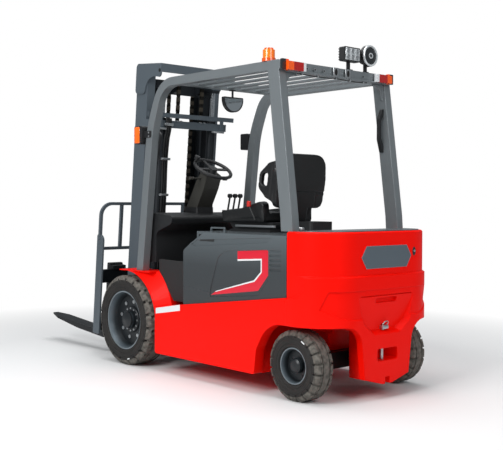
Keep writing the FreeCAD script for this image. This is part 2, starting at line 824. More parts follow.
def counterweight():
    piece = Piece("counterweight")
    front = back(weight_front_back)
    rear = back(rear_reach)
    outer = size.body_half_width
    wide = outer + 40
    corner = size.weight_corner

    def shell(inset):
        """Plan outline a little inside the outermost one."""
        return Outline(((front, inset - outer, 0), (front, outer - inset, 0),
                        (rear + inset, outer - inset, corner - inset),
                        (rear + inset, inset - outer, corner - inset)))

    # stacked bands, from the keel up to the bevelled top edge
    step = size.weight_step
    ledge = size.weight_ledge
    bevel = size.weight_bevel
    top = size.weight_top
    bands = (
        (size.weight_keel, ledge - bevel, 0, 0),
        (ledge - bevel, ledge, 0, -55),
        (ledge - bevel, top - bevel, step, 0),
        (top - bevel, top, step, -40),
    )
    for low, high, inset, taper in bands:
        piece.pad("plan", shell(inset), low, high, taper)
    # sunk panel round the back, with slanting ends on the corners
    panel_low = size.weight_panel_low
    panel_top = size.weight_panel_top
    piece.pocket("side", Outline((
        (rear - 1, panel_low), (rear + size.panel_reach, panel_low + size.panel_rise),
        (rear + size.panel_reach * 0.65, panel_top), (rear - 1, panel_top),
    )), -wide, wide)
    piece.pad("plan", shell(size.weight_panel_depth), panel_low - 5, panel_top + 5)
    # the step runs down along each side to meet the sill
    piece.pocket("side", Outline((
        (front + 40, sill_rear_height - 12), (front - 85, sill_rear_height + 8, 60), (front - 232, ledge - 40, 90),
        (rear + 120, ledge - 16, 60), (rear + 120, ledge + 40), (front + 40, ledge + 40),
    )), outer - step, wide)
    piece.mirror()
    # the wheels' room, which leaves a tapering column in the middle
    for label, sign in SIDES:
        piece.pocket("front", Outline((
            (wide * sign, size.arch_height),
            (size.weight_column_half_width * sign, size.arch_height, size.arch_lead),
            (size.weight_foot_half_width * sign, size.weight_bottom - 50),
            (wide * sign, size.weight_bottom - 50),
        )), rear - 1, front + 1)
        piece.pocket("front", Outline((
            (wide * sign, size.weight_bottom + 4), (size.weight_foot_half_width * sign, size.weight_bottom),
            (50 * sign, size.weight_keel), (50 * sign, size.weight_keel - 1),
            (wide * sign, size.weight_keel - 1),
        )), rear - 1, front + 1)
    piece.pocket("side", rectangle(back(weight_column_front_back), front + 1, size.weight_keel - 1,
                                   size.arch_height), -wide, wide)
    piece.pocket("front",
                 rectangle(-size.keel_notch, size.keel_notch, size.weight_keel - 1,
                           size.weight_keel + 44), rear - 1,
                 rear + 60)
    # trough under the badge with slanting walls, where the tow pin is reached; its floor slopes outwards
    trough_top = size.weight_panel_top - 30
    low = size.trough_low
    half = size.trough_half_width
    foot = size.trough_foot
    depth = size.trough_depth
    piece.pocket("front", Outline((
        (-foot, low, 30), (foot, low, 30), (half * 0.82, low + 76, 60), (half, trough_top, 30),
        (-half, trough_top, 30), (-half * 0.82, low + 76, 60),
    )), rear - 1, rear + depth, -30)
    piece.pad("side", Outline((
        (rear + depth, low + 30), (rear + size.weight_panel_depth + 1, trough_top - 12),
        (rear + depth + 10, trough_top - 12), (rear + depth + 10, low + 30),
    )), -half - 5, half + 5)
    piece.pocket("front", rectangle(-size.trough_slot, size.trough_slot, trough_top - 56, trough_top - 24, 12),
                 rear, rear + 36)
    # blank badge plate with pointed ends, and the latch over the tow pin
    tip = size.badge_half_width
    flat = tip - 48
    badge = Outline((
        (-tip, size.badge_centre), (-flat, size.badge_centre - size.badge_half_height),
        (flat, size.badge_centre - size.badge_half_height),
        (tip, size.badge_centre), (flat, size.badge_centre + size.badge_half_height),
        (-flat, size.badge_centre + size.badge_half_height),
    ))
    piece.pad("front", badge, rear + size.weight_step - 6, rear + size.weight_step + 2)
    # the column's flanks stay clear of a wheel at full lock
    offset = size.rear_wheel_centre - size.kingpin_y
    reach = size.rear_tyre_radius + size.wheel_clearance
    half = size.rear_tyre_width / 2 + size.wheel_clearance
    turn_x = sine(size.steer_limit)
    turn_y = cosine(size.steer_limit)
    lock_x = rear_x - offset * turn_x - reach * turn_y
    lock_y = size.kingpin_y + offset * turn_y - reach * turn_x
    for label, sign in SIDES:
        piece.pocket("plan", Outline((
            (lock_x + half * turn_x, (lock_y - half * turn_y) * sign),
            (lock_x - half * turn_x, (lock_y + half * turn_y) * sign),
            (lock_x - half * turn_x, wide * sign), (lock_x + half * turn_x, wide * sign),
        )), size.weight_keel - 1, 2 * size.rear_tyre_radius + size.wheel_clearance)
    # ears that hold the hood's hinge pins
    for label, sign in SIDES:
        y_low, y_high = span(sign, size.hood_half_width - 84, size.hood_half_width - 66)
        piece.pad("side", rectangle(front - 20, hinge_x + 18, hinge_z - 40, hinge_z + 16, 6), y_low, y_high)
        piece.pocket("side", Circle(hinge_x, hinge_z, size.hinge_pin_radius + size.hub_gap), y_low, y_high)
    slot = rectangle(-size.tow_slot_half_width, size.tow_slot_half_width, size.tow_slot_low,
                     size.tow_slot_high, 16)
    piece.pocket("front", slot, rear - 1, rear + 110)
    piece.pocket("plan", Circle(rear + size.tow_pin_inset, 0, size.tow_pin_radius + 4 + size.hub_gap),
                 size.tow_slot_low - 40, size.trough_low + 60)


def rear_deck():
    """Dark cover plate on top of the counterweight, behind the guard's posts."""
    piece = Piece("rear_deck")
    inset = size.weight_step + 26
    outer = size.body_half_width - inset
    rear = back(rear_reach) + inset
    corner = size.weight_corner - inset
    front = back(guard_rear_back - 20 + size.guard_post_lean + 16)
    piece.pad("plan", Outline((
        (front, -outer, 10), (front, outer, 10), (rear, outer, corner), (rear, -outer, corner),
    )), size.weight_top + size.hub_gap, size.weight_top + 6)


def tow_pin():
    piece = Piece("tow_pin")
    x = back(rear_reach) + size.tow_pin_inset
    piece.pad("plan", Circle(x, 0, size.tow_pin_radius), size.tow_slot_low - 39, size.trough_low + 40)
    piece.pad("plan", Circle(x, 0, size.tow_pin_radius + 4), size.tow_slot_low - 39, size.tow_slot_low)
    piece.pad("plan", Circle(x, 0, size.tow_pin_radius + 4), size.tow_slot_high, size.trough_low + 40)


# Floor, cowl, covers and battery

def battery():
    low = size.skirt_bottom + size.frame_floor_thick
    piece = Piece("battery")
    piece.pad("plan", rectangle(back(battery_rear_back), back(battery_front_back),
                                -size.battery_width / 2, size.battery_width / 2),
              low, low + size.battery_height)


def floor():
    """Flat operator's floor with its two side panels, each a step above the frame's ledge."""
    piece = Piece("floor")
    low = size.floor_height - size.floor_thick
    rear = back(size.hood_front_back - size.cover_gap)
    front = back(size.fender_flare - 60)
    half = size.cab_half_width
    piece.pad("plan", rectangle(rear, back(size.cowl_front_back + 20), -half + 110, half - 110), low,
              size.floor_height)
    for label, sign in SIDES:
        y_low, y_high = span(sign, half - size.floor_thick, half)
        piece.pad("side", Outline((
            (rear, size.sill_front_height + 48), (back(500), size.sill_front_height + 48),
            (back(318), size.fender_top + 8), (back(318), size.floor_height + 30, 12),
            (rear, size.floor_height + 20),
        )), y_low, y_high)
        y_low, y_high = span(sign, half - 120, half - 1)
        piece.pad("plan", rectangle(rear, back(318), y_low, y_high), low, size.floor_height)
    piece.pocket("side",
                 Circle(front_x, size.front_tyre_radius,
                        size.fender_flare + size.fender_thick + size.hub_gap),
                 -half - 1, half + 1)


def front_cowl():
    """Dash shell: a front wall, two cheeks, a top and a knee panel, open below."""
    piece = Piece("front_cowl")
    half = size.cowl_half_width
    front = back(size.cowl_front_back)
    wall = size.cowl_wall
    low = size.floor_height
    outline = Outline((
        (front, low), (front, cowl_top, 30), (front - size.cowl_depth, cowl_top - size.cowl_fall, 25),
        (front - size.cowl_depth + 20, cowl_top - 85, 25), (front - 120, cowl_top - 150, 60),
        (front - 120, low),
    ))
    piece.pad("side", outline, -half, half)
    hollow = Outline((
        (front - wall, low - 1), (front - wall, cowl_top - wall, 20),
        (front - size.cowl_depth + wall, cowl_top - size.cowl_fall - wall, 12),
        (front - size.cowl_depth + 20 + wall, cowl_top - 85 + wall * 0.6, 12),
        (front - 120 + wall, cowl_top - 150 + wall * 0.3, 50), (front - 120 + wall, low - 1),
    ))
    piece.pocket("side", hollow, -half + wall, half - wall)
    wide = size.column_width / 2 + 12
    deep = size.column_depth / 2 / cosine(size.column_lean) + 12
    piece.pad("plan", rectangle(collar_x - deep, collar_x + deep, -wide, wide, 14), cowl_top - 30,
              cowl_top + size.column_collar)


def side_covers():
    """Battery side doors: an outer skin with its top chamfer and turned edges, hollow inside."""
    for label, sign in SIDES:
        piece = Piece("side_cover_%s" % label)
        front = back(size.hood_front_back)
        rear = back(weight_front_back - size.cover_gap)
        sill_slope = (sill_rear_height - size.sill_front_height) / (weight_front_back - size.skirt_front_back)
        behind = size.hood_front_back - size.skirt_front_back
        low_front = size.sill_front_height + sill_slope * behind + size.hub_gap
        low_rear = sill_rear_height - sill_slope * size.cover_gap + size.hub_gap
        top = size.hood_top
        y_low, y_high = span(sign, size.hood_half_width + size.cover_gap, size.cover_half_width)
        piece.pad("side", Outline((
            (front, low_front, 10), (front, size.hood_top - 135, 30),
            (front - size.cover_chamfer, size.hood_top - 78, 60),
            (front - 240, top, 40), (rear, top, 6), (rear, low_rear, 6),
        )), y_low, y_high)
        y_low, y_high = span(sign, 0, size.cover_half_width - size.cover_wall)
        piece.pocket("side", Outline((
            (front + 1, low_front - 60), (front + 1, top - size.hood_thick),
            (rear + size.cover_wall, top - size.hood_thick), (rear + size.cover_wall, low_front - 60),
        )), y_low, y_high)
        # crease under the top edge, sunk panel with its arched front, and five louvres
        y_low, y_high = span(sign, size.cover_half_width - size.cover_relief, size.cover_half_width + 1)
        piece.pocket("side", Outline((
            (front - 88, top - 88), (front - 163, top - 54), (rear + 145, top - 16), (rear + 186, top - 51),
            (front - 138, top - 102),
        )), y_low, y_high)
        piece.pocket("side", Outline((
            (front - 300, low_front + 82, 6), (front - 316, low_front + 150, 90),
            (front - 400, top - 140, 120),
            (front - 540, top - 112, 60), (rear + 171, top - 97, 14), (rear + 171, low_front + 240, 14),
            (rear + 270, low_front + 128, 14), (front - 330, low_front + 84, 4),
        )), y_low, y_high)
        for index in range(int(size.louvre_count.value)):
            up = top - 110 - size.louvre_pitch * index
            piece.pocket("side", Outline((
                (rear + 50, up + 4, 3), (rear + 158, up, 3), (rear + 158, up + 14, 3),
                (rear + 50, up + 18, 3),
            )), y_low, y_high)


def battery_hood():
    """Lid over the battery with a front apron; it turns about the pin at its rear edge."""
    piece = Piece("battery_hood")
    front = back(size.hood_front_back)
    rear = back(hood_rear_back)
    half = size.hood_half_width
    low = size.hood_top - size.hood_thick
    piece.pad("plan", rectangle(rear, front, -half, half, 12), low, size.hood_top)
    piece.pad("plan", rectangle(front - size.hood_thick, front, -half, half),
              size.floor_height + size.cover_gap,
              size.hood_top)
    handle = front - size.hood_handle_back
    grip = handle - size.hood_handle_length
    top = size.hood_top + size.hood_handle_height
    piece.pad("side", Outline((
        (handle, size.hood_top - 2), (handle, top, 14), (grip, top, 14), (grip, size.hood_top - 2),
        (grip + 12, size.hood_top - 2), (grip + 12, top - 12, 4), (handle - 12, top - 12, 4),
        (handle - 12, size.hood_top - 2),
    )), half - 46, half - 34)
    for label, sign in SIDES:
        y_low, y_high = span(sign, half - 60, half - 10)
        piece.pad("side", rectangle(hinge_x - 15, hinge_x + 15, hinge_z - 15, low + 2), y_low, y_high)
        y_low, y_high = span(sign, half - 90, half - 10)
        piece.pad("side", Circle(hinge_x, hinge_z, size.hinge_pin_radius), y_low, y_high)
        y_low, y_high = span(sign, half - 90, half - 60)
        piece.pocket("plan", rectangle(rear - 1, hinge_x + 26, y_low, y_high), low - 1, size.hood_top + 1)


# Seat, steering and controls

def seat():
    half = size.seat_width / 2
    front = back(size.seat_front_back)
    rear = front - size.seat_cushion_length
    low = seat_cushion_low
    base = Piece("seat_base")
    base.pad("side", Outline((
        (front - 80, size.hood_top), (front - 80, size.hood_top + 22), (front - 50, low - 20),
        (front - 30, low, 4),
        (rear - 40, low, 4), (rear - 40, low - 20), (rear - 10, size.hood_top + 22),
        (rear - 10, size.hood_top),
    )), -half + 55, half - 55)
    base.pad("plan", rectangle(rear - 112, rear - 30, -100, 100, 8), low - 20, low)
    # low housing behind the seat, on the hood
    base.pad("plan", rectangle(rear - size.housing_length, rear - 102, -165, 60, 24), size.hood_top,
             low + 8)
    for label, sign in SIDES:
        y_low, y_high = span(sign, half - 80, half - 40)
        rail = rectangle(rear - 30, front - 60, y_low, y_high)
        base.pad("plan", rail, size.hood_top, size.hood_top + size.seat_rail_height)
    cushion = Piece("seat_cushion")
    under = low + size.hub_gap
    top = low + size.seat_cushion_thick
    cushion.pad("side", Outline((
        (front, under, 30), (front + 4, top - 15, 42), (front - 250, top - 30, 200), (rear, top - 20, 20),
        (rear, under, 20),
    )), -half + size.bolster_width - 2, half - size.bolster_width + 2)
    # side bolsters rise towards the hips
    for label, sign in SIDES:
        y_low, y_high = span(sign, half - size.bolster_width, half)
        cushion.pad("side", Outline((
            (front - 6, under, 30), (front - 6, top - 10, 38), (front - 190, top + 6, 120),
            (rear + 40, top + size.bolster_rise, 50), (rear, top + size.bolster_rise - 22, 30),
            (rear, under, 20),
        )), y_low, y_high)
    seat_back = Piece("seat_back")
    thick = size.seat_back_thick
    lift = top + 20
    tall = seat_back_top - lift
    seat_back.pad("front", Outline((
        (-half + 15, 0, 60), (half - 15, 0, 60), (half, tall * 0.5, 300), (half - 30, tall, 110),
        (-half + 30, tall, 110), (-half, tall * 0.5, 300),
    )), -thick, -thick / 2)
    # padding in the shell, and the wings that hold the driver's sides
    seat_back.pad("front", rectangle(-half + 80, half - 80, 20, tall - 40, 60), -thick / 2 - 1,
                  -thick * 0.1)
    for label, sign in SIDES:
        y_low, y_high = span(sign, half - 46, half - 4)
        seat_back.pad("side", Outline((
            (-thick * 0.6, 40, 0), (10, 60, 40), (size.seat_wing, tall * 0.30, 60),
            (size.seat_wing, tall * 0.58, 60),
            (10, tall * 0.80, 70), (-thick * 0.6, tall * 0.86, 0),
        )), y_low, y_high)
        seat_back.pocket("side", Outline((
            (6, tall * 0.36, 16), (size.seat_wing - 34, tall * 0.38, 16),
            (size.seat_wing - 34, tall * 0.56, 16),
            (6, tall * 0.62, 16),
        )), y_low, y_high)
    # spine that stands on the base's rear shelf
    slope = sine(size.seat_lean) / cosine(size.seat_lean)
    drop = (size.seat_cushion_thick + 20 - size.hub_gap) / cosine(size.seat_lean)
    inner = -thick * 0.7
    seat_back.pad("side", Outline((
        (-thick, -drop + thick * slope), (inner, -drop - inner * slope), (inner, 60), (-thick, 60),
    )), -90, 90)
    seat_back.place(rear - 2, 0, lift, (0, 1, 0), -size.seat_lean)


def steering():
    column = Piece("steering_column")
    piece = Piece("steering_wheel")
    rim = size.wheel_rim_radius
    thick = size.wheel_rim_thick
    chamfer = thick * 0.42
    piece.turn("side", Outline((
        (rim - thick, -chamfer), (rim - chamfer, -thick), (rim + chamfer, -thick), (rim + thick, -chamfer),
        (rim + thick, chamfer), (rim + chamfer, thick), (rim - chamfer, thick), (rim - thick, chamfer),
    )), "V_Axis")
    piece.pad("plan", Circle(0, 0, 38), -34, 10)
    piece.pad("plan", rectangle(-12, 12, -rim, rim), -10, 2)
    piece.pad("plan", rectangle(0, rim, -14, 14), -10, 2)
    # knob for turning the wheel with one hand
    piece.pad("plan", Circle(rim * 0.7, rim * 0.7, 8), 0, 30)
    piece.pad("plan", Circle(rim * 0.7, rim * 0.7, 21), 26, 56)
    # moulded housing over the column, cut off level with the collar
    drop = steering_centre_height - cowl_top - size.column_collar - size.hub_gap
    slope = sine(size.column_lean) / cosine(size.column_lean)
    deep = size.column_depth / 2
    wide = size.column_width / 2
    foot = drop / cosine(size.column_lean)
    top = 40 + size.hub_gap
    column.pad("side", Outline((
        (-deep, -foot + deep * slope), (deep, -foot - deep * slope), (deep * 0.92, -150, 20),
        (deep * 0.75, -top - 40, 20), (deep * 0.55, -top, 12), (-deep * 0.75, -top, 12), (-deep, -150, 30),
    )), -wide, wide)
    column.pad("plan", Circle(0, 0, size.column_radius), -top - 2, -34 - size.hub_gap)
    # stalks for direction and lamps
    for sign in (1, -1):
        low, high = span(sign, wide - 2, wide + size.stalk_reach)
        column.pad("side", Circle(deep * 0.2, -95, size.stalk_radius), low, high)
        low, high = span(sign, wide + size.stalk_reach - 15, wide + size.stalk_reach + 20)
        column.pad("side", Circle(deep * 0.2, -95, size.stalk_radius + 5), low, high)
    for part in (column, piece):
        part.place(back(size.steering_centre_back), 0, steering_centre_height, (0, 1, 0),
                   -size.column_lean)


def hand_levers():
    """Lift, tilt and shift levers in a block that follows the cowl's sloping top."""
    piece = Piece("hand_levers")
    near = size.lever_block_near
    far = size.lever_block_far
    fall = size.cowl_fall / size.cowl_depth
    front = back(size.cowl_front_back)
    top = cowl_top + size.hub_gap
    piece.pad("side", Outline((
        (front - near, top - fall * near), (front - near, top + 18, 8), (front - far, top + 6, 12),
        (front - far, top - fall * far),
    )), -size.lever_far - 30, -size.lever_near + 30)
    count = int(size.lever_count.value)
    pitch = (size.lever_far - size.lever_near) / (count - 1)
    for index in range(count):
        y = -size.lever_near - pitch * index
        foot = front - near - 40
        piece.pad("side", Outline((
            (foot, top), (foot + 12, top), (foot - 18, top + size.lever_length),
            (foot - 30, top + size.lever_length),
        )), y - 5, y + 5)
        piece.pad("side", Circle(foot - 25, top + size.lever_length + 12, size.lever_knob_radius),
                  y - 13, y + 13)


def pedals():
    """Brake and accelerator on the floor ahead of the driver."""
    piece = Piece("pedals")
    floor_top = size.floor_height + size.hub_gap
    heel = back(size.pedal_back + 75)
    toe = back(size.pedal_back)
    for right_edge, left_edge in ((-70, 10), (-190, -115)):
        piece.pad("side", Outline((
            (heel, floor_top), (heel + 34, floor_top), (toe - 6, floor_top + 110),
            (toe, floor_top + 140, 5),
            (toe - 12, floor_top + 146, 5), (heel, floor_top + 22),
        )), right_edge, left_edge)


# Overhead guard

def guard():
    half = size.guard_half_width
    width = size.guard_tube_width
    tall = size.guard_tube_height
    top = size.guard_top
    for label, sign in SIDES:
        piece = Piece("guard_side_%s" % label)
        low, high = span(sign, half - width / 2, half + width / 2)
        piece.pad("side", Outline((
            (back(size.guard_foot_back - 34), size.guard_foot_height),
            (back(size.guard_bend_back - 36), guard_bend_height, 900),
            (back(size.guard_bend_back + 120), top, 240),
            (back(guard_rear_back), top, 20),
            (back(guard_rear_back), top - tall, 0),
            (back(size.guard_bend_back + 160), top - tall, 180),
            (back(size.guard_bend_back + 40), guard_bend_height - 20, 820),
            (back(size.guard_foot_back + 46), size.guard_foot_height),
        )), low, high)
        post_top = guard_rear_back - 20
        piece.pad("side", Outline((
            (back(post_top), top - tall / 2), (back(post_top - size.guard_post_depth), top - tall / 2),
            (back(post_top + size.guard_post_lean - size.guard_post_depth), size.weight_top + 90, 60),
            (back(post_top + size.guard_post_lean - size.guard_post_depth + 6), size.weight_top),
            (back(post_top + size.guard_post_lean + 6), size.weight_top),
            (back(post_top + size.guard_post_lean), size.weight_top + 90, 60),
        )), low, high)
        # gusset inside the post, up to the rear beam
        near = (half - width / 2 + 1) * sign
        far = near - size.gusset_size * sign
        under = top - tall - size.beam_drop - size.hub_gap
        piece.pad("front", Outline((
            (near, under), (far, under), (far, under - 16),
            (near - 14 * sign, under - 16, size.gusset_size - 30),
            (near - 14 * sign, under - size.gusset_size), (near, under - size.gusset_size),
        )), back(guard_rear_back - 25), back(guard_rear_back - 37))
    roof = Piece("guard_roof")
    inner = half - width / 2
    bar_low = top - tall + 8
    front_low = back(size.guard_front_back)
    rear = back(guard_rear_back)
    roof.pad("plan", rectangle(front_low, front_low + 70, -inner, inner), top - tall, top - 6)
    roof.pad("plan", rectangle(rear - 10, rear + 50, -inner, inner), top - tall - size.beam_drop,
             top - tall + 1)
    roof.pad("plan", rectangle(rear, rear + 50, -inner, inner), top - tall, top - 6)
    count = int(size.roof_bar_count.value)
    pitch = 2 * inner / (count + 1)
    for index in range(count):
        y = pitch * (index + 1) - inner
        roof.pad("plan", rectangle(rear + 10, front_low + 10, y - size.roof_bar_width / 2,
                                   y + size.roof_bar_width / 2), bar_low, bar_low + size.roof_bar_thick)


# Lamps and fittings

def lamps():
    half = size.guard_half_width
    top = size.guard_top
    rear = back(guard_rear_back)
    beacon_x = rear + size.beacon_ahead
    beacon = Piece("beacon")
    beacon_y = half - 6
    lens_low = top + size.beacon_foot_height
    cap_low = lens_low + size.beacon_lens_height
    for radius, low, high in (
            (size.beacon_foot_radius, top + size.hub_gap, lens_low),
            (size.beacon_lens_radius, lens_low, cap_low),
            (size.beacon_cap_radius, cap_low, cap_low + size.beacon_cap_height)):
        beacon.pad("plan", Circle(beacon_x, beacon_y, radius), low, high)
    rear_lamps = Piece("rear_lamps")
    for label, sign in SIDES:
        low, high = span(sign, half - 4 - size.rear_lamp_length, half - 4)
        lens = rectangle(low, high, top - 12 - size.rear_lamp_height, top - 12, 6)
        rear_lamps.pad("front", lens, rear - 38, rear - 10 - size.hub_gap)
        # cap over the roof tube's end, which the lamp butts against
        low, high = span(sign, half - size.guard_tube_width / 2 + size.hub_gap, half + 34)
        rear_lamps.pad("front", rectangle(low, high, top - 70, top + 2, 6), rear - 16, rear - size.hub_gap)
    # work lamps: a square one and a round one, each on its stem over the rear beam
    work_lamps = Piece("work_lamps")
    beam_top = top - 6 + size.hub_gap
    square_y = -size.square_lamp_right
    round_y = -size.round_lamp_right
    for y, up, spread in ((square_y, size.square_lamp_up, 30), (round_y, size.round_lamp_up, 22)):
        work_lamps.pad("plan", rectangle(rear + 4, rear + 46, y - spread, y + spread), beam_top,
                       beam_top + 6)
        work_lamps.pad("plan", rectangle(rear + 14, rear + 26, y - 14, y + 14), beam_top, up)
    tall = size.square_lamp_height / 2
    wide = size.square_lamp_width / 2
    up = size.square_lamp_up
    work_lamps.pad("front", rectangle(square_y - wide, square_y + wide, up - tall, up + tall, 10),
                   rear - 20, rear + 30)
    fins = int(size.square_lamp_fins.value)
    fin_pitch = (size.square_lamp_height - 24) / (fins - 1)
    for index in range(fins):
        z = up - tall + 12 + index * fin_pitch
        work_lamps.pad("front", rectangle(square_y - wide + 13, square_y + wide - 13, z - 3, z + 3),
                       rear + 28, rear + 48)
    round_lamp = size.round_lamp_radius
    work_lamps.pad("front", Circle(round_y, size.round_lamp_up, round_lamp), rear - 26, rear + 4)
    work_lamps.pad("front", Circle(round_y, size.round_lamp_up, round_lamp - size.round_lamp_bezel),
                   rear + 2, rear + 44)
    # turn lamps on plates that bear on the outer faces of the front pillars
    turn_lamps = Piece("turn_lamps")
    face = half + size.guard_tube_width / 2 + size.hub_gap
    low = guard_bend_height - size.turn_lamp_drop
    for label, sign in SIDES:
        y_low, y_high = span(sign, face, face + 5)
        turn_lamps.pad("side", rectangle(back(290), back(190), low + 45, low + 95, 6), y_low, y_high)
        y_low, y_high = span(sign, face - 45, face + 26)
        turn_lamps.pad("side", rectangle(back(200), back(100), low, low + 136, 14), y_low, y_high)
    # half-round mirror hung from the front beam
    mirror = Piece("mirror")
    beam_low = top - size.guard_tube_height - size.hub_gap
    x = back(size.guard_front_back - 20)
    y = size.mirror_left
    drop = size.mirror_drop
    half_width = size.mirror_half_width
    mirror.pad("plan", rectangle(x - 18, x + 18, y - 20, y + 20), beam_low - 6, beam_low)
    mirror.pad("plan", Circle(x, y, 8), beam_low - drop - 4, beam_low)
    mirror.pad("front", Outline((
        (y - half_width, beam_low - drop - 116, half_width - 2),
        (y + half_width, beam_low - drop - 116, half_width - 2),
        (y + half_width, beam_low - drop, 8), (y - half_width, beam_low - drop, 8),
    )), x - 14, x + 14)


def grab_handles():
    """Bent rail beside the left front pillar and a moulded grip behind the right rear post."""
    piece = Piece("grab_handles")
    face = size.guard_half_width - size.guard_tube_width / 2 - size.hub_gap
    y_low, y_high = span(1, face - 14, face)
    top = guard_bend_height - 10
    low = top - size.grab_length
    piece.pad("side", Outline((
        (back(262), top), (back(330), top - 50, 30), (back(245), low, 24), (back(190), low + 6),
        (back(190), low + 20),
        (back(234), low + 14, 14), (back(314), top - 50, 18), (back(262), top - 16),
    )), y_low, y_high)
    # the grip's two feet bear on the inner face of the right rear post
    top = size.guard_top - size.grip_down
    low = top - size.grip_length
    away = size.grip_reach
    piece.pad("front", Outline((
        (-face, top), (-face + 14, top, 6), (-face + away, top - 70, 40), (-face + away, low + 90, 60),
        (-face + 16, low, 6), (-face, low), (-face, low + 40), (-face + away - 20, low + 104, 40),
        (-face + away - 20, top - 84, 24), (-face, top - 40),
    )), back(guard_rear_back - 16), back(guard_rear_back - 42))


# Mast. The rails are modelled upright about the tilt pin and then leaned back.

def outer_mast():
    piece = Piece("outer_mast")
    front = size.rail_front
    rear = front - size.rail_depth
    for label, sign in SIDES:
        web = size.outer_rail_y - size.rail_web
        lip = size.outer_rail_y - size.outer_rail_lip
        piece.pad("plan", Outline((
            (rear, size.outer_rail_y * sign), (front, size.outer_rail_y * sign), (front, lip * sign),
            (front - size.rail_flange, lip * sign), (front - size.rail_flange, web * sign),
            (rear + size.rail_flange, web * sign), (rear + size.rail_flange, lip * sign),
            (rear, lip * sign),
        )), size.outer_rail_low, size.outer_rail_high)
        low, high = span(sign, size.outer_rail_y, size.outer_rail_y + size.head_plate_thick)
        piece.pad("side", Outline((
            (front + 4, size.head_low, 30), (front + 4, size.head_high, 34),
            (-size.head_back, size.head_high, 30),
            (-size.head_back, size.head_high - 110, 30), (rear + 30, size.head_low + 150, 120),
            (rear + 20, size.head_low, 34),
        )), low, high)
        # pin bracket that hangs each rail on the tilt pin
        low, high = span(sign, bracket_y, bracket_y + 22)
        piece.pad("side", Outline((
            (-34, -34, 33), (rear + 4, -100), (rear + 4, 90), (-34, 34, 33),
        )), low, high)
        low, high = span(sign, lip, bracket_y + 22)
        piece.pad("plan", rectangle(rear - 12, rear, low, high), -100, 90)
        low, high = span(sign, size.axle_cheek_y - 4, bracket_y + 22)
        piece.pad("side", Circle(0, 0, size.mast_pin_radius - size.hub_gap), low, high)
        # tilt cylinder ears
        for ear in (-size.tilt_ear_inner, size.tilt_ear_outer):
            ear_y = size.tilt_cylinder_y + ear
            low, high = span(sign, ear_y, ear_y + size.tilt_ear_thick)
            piece.pad("side", Outline((
                (size.tilt_pin_forward - 30, size.tilt_pin_up - 30, 28), (rear + 2, size.tilt_pin_up - 50),
                (rear + 2, size.tilt_pin_up + 50), (size.tilt_pin_forward - 30, size.tilt_pin_up + 30, 28),
            )), low, high)
        low, high = span(sign, size.tilt_cylinder_y - 37, size.tilt_cylinder_y + 40)
        piece.pad("side", Circle(size.tilt_pin_forward, size.tilt_pin_up, size.tilt_pin_radius), low, high)
    half = size.outer_rail_y
    beam_front = -size.head_back + size.cross_bar_thick
    head_half = half + size.head_plate_thick
    piece.pad("plan", rectangle(-size.head_back, beam_front, -head_half, head_half),
              size.head_high - size.head_beam_height, size.head_high)
    piece.pad("plan", rectangle(rear - size.cross_bar_thick, rear, -half, half), size.outer_rail_low,
              size.outer_rail_low + 70)
    piece.pad("plan", rectangle(rear - 90, rear, -half + 60, half - 60), size.outer_rail_low - 16,
              size.outer_rail_low)
    tie_rear = size.lift_cylinder_forward - size.lift_barrel_radius - 3 - size.cross_bar_thick
    piece.pad("plan", rectangle(tie_rear, tie_rear + size.cross_bar_thick, -half, half),
              size.tie_bar_low, size.tie_bar_low + size.tie_bar_height)
    anchor_front = size.chain_wheel_forward - size.chain_wheel_radius
    slim = size.slim_bar_half_width
    piece.pad("plan", rectangle(tie_rear - 12, tie_rear, -slim, slim), size.slim_bar_low,
              size.slim_bar_low + size.slim_bar_height)
    for label, sign in SIDES:
        low, high = span(sign, 300, 330)
        piece.pad("plan", rectangle(tie_rear - 12, tie_rear + 1, low, high), size.tie_bar_low,
                  size.slim_bar_low + 2)
        y_low, y_high = span(sign, size.chain_y - 20, size.chain_y + 20)
        piece.pad("plan", rectangle(tie_rear + 1, anchor_front, y_low, y_high), chain_anchor_up - 20,
                  chain_anchor_up)
        low, high = span(sign, half - 18, half)
        piece.pad("plan", rectangle(tie_rear, rear + 1, low, high), size.tie_bar_low,
                  size.tie_bar_low + size.tie_bar_height)
    piece.lean()


def lift_barrels():
    foot = size.outer_rail_low
    for label, sign in SIDES:
        piece = Piece("lift_barrel_%s" % label)
        centre = (size.lift_cylinder_forward, size.lift_cylinder_y * sign)
        piece.pad("plan", Circle(*centre, size.lift_barrel_radius), foot,
                  size.tie_bar_low + size.tie_bar_height + 20)
        piece.pocket("plan", Circle(*centre, size.lift_bore_radius), foot + 30, size.tie_bar_low + 20)
        piece.pocket("plan", Circle(*centre, size.lift_rod_radius + size.rod_gap), foot + 30,
                     size.tie_bar_low + size.tie_bar_height + 20)
        piece.lean()


def lift_rods():
    for label, sign in SIDES:
        piece = Piece("lift_rod_%s" % label)
        centre = (size.lift_cylinder_forward, size.lift_cylinder_y * sign)
        low = size.outer_rail_low + 30 + lowering_room
        piece.pad("plan", Circle(*centre, size.lift_bore_radius - size.rod_gap), low, low + 60)
        piece.pad("plan", Circle(*centre, size.lift_rod_radius), low, rod_top)
        piece.lean()


